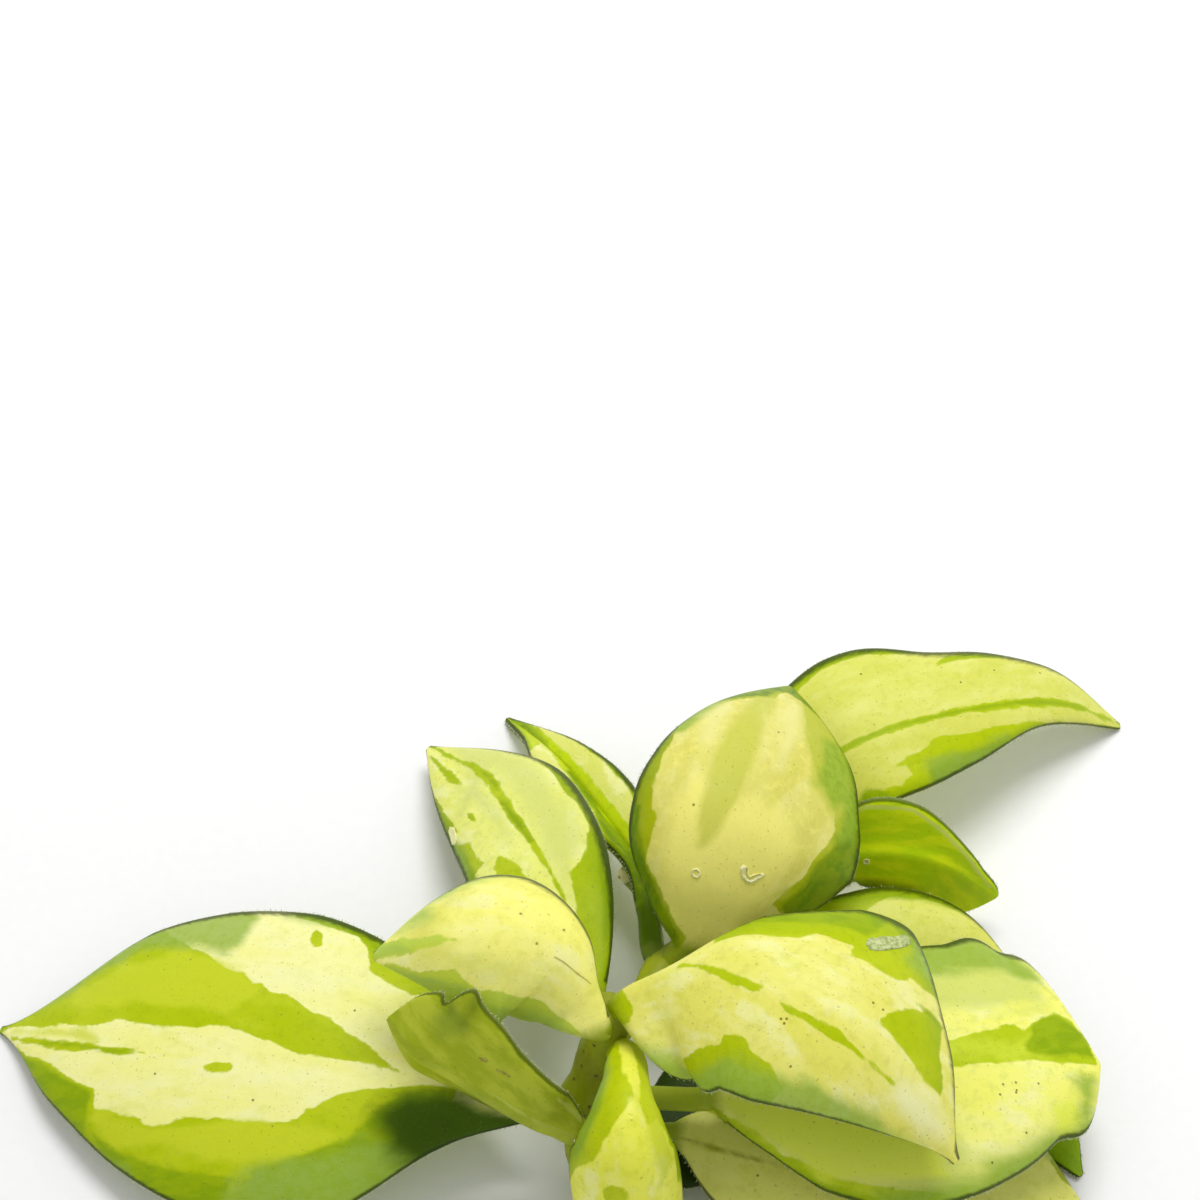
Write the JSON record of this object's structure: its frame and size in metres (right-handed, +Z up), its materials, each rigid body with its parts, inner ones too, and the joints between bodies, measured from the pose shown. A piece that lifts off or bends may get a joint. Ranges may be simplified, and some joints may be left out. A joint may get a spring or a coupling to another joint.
{
  "type": "leafy vine cutting",
  "caption": "Leafy cutting of a variegated wax vine lying on a surface: thick pointed leaves with cream centres and green margins in opposite pairs on a short stem with a side shoot.",
  "frame": {"origin": "the middle of the footprint, on the surface that the cutting lies on", "axes": "+X to the right along the longest extent, +Y to the back, away from the cut end of the stem, +Z up"},
  "size_m": [0.1109, 0.0683, 0.0277],
  "materials": {
    "leaf": "satin",
    "leaf_underside": "satin",
    "stem": "matte"
  },
  "bodies": {
    "root": {"main_stem": "stem", "side_shoot": "stem", "young_shoot": "stem", "leaf_left_large": "leaf", "leaf_left_folded": "leaf_underside", "leaf_left_domed": "leaf", "leaf_back_left": "leaf", "leaf_back_narrow": "leaf", "leaf_centre_round": "leaf", "leaf_back_right": "leaf", "leaf_right_dark": "leaf_underside", "leaf_right_pale": "leaf", "leaf_front_right": "leaf", "leaf_right_large": "leaf", "leaf_right_low": "leaf", "leaf_right_lowest": "leaf", "leaf_front_centre": "leaf"}
  },
  "joints": []
}
